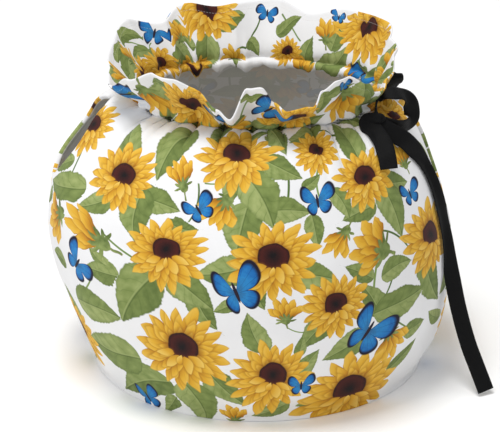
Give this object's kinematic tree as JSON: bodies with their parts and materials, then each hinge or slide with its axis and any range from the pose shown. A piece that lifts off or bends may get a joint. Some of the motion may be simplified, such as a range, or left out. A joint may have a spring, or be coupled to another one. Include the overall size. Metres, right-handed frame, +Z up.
{
  "type": "tea cosy",
  "caption": "Hollow padded drawstring cover for a teapot: gathered neck under an upright frill, a slot at each side for spout and handle, a ribbon bow; it stands on its hem.",
  "frame": {"origin": "middle of the bounding box's footprint, on the surface that the hem stands on", "axes": "+Z up, -Y towards the front, +X towards the handle slot and the bow, -X towards the spout slot"},
  "size_m": [0.2678, 0.236, 0.204],
  "materials": {
    "printed_cloth": "plain-weave cloth, white with an all-over print of sunflowers, leaves and butterflies",
    "ribbon": "black woven ribbon with a low sheen"
  },
  "bodies": {
    "root": {"front_panel": "printed_cloth", "back_panel": "printed_cloth", "ribbon": "ribbon"}
  },
  "joints": []
}
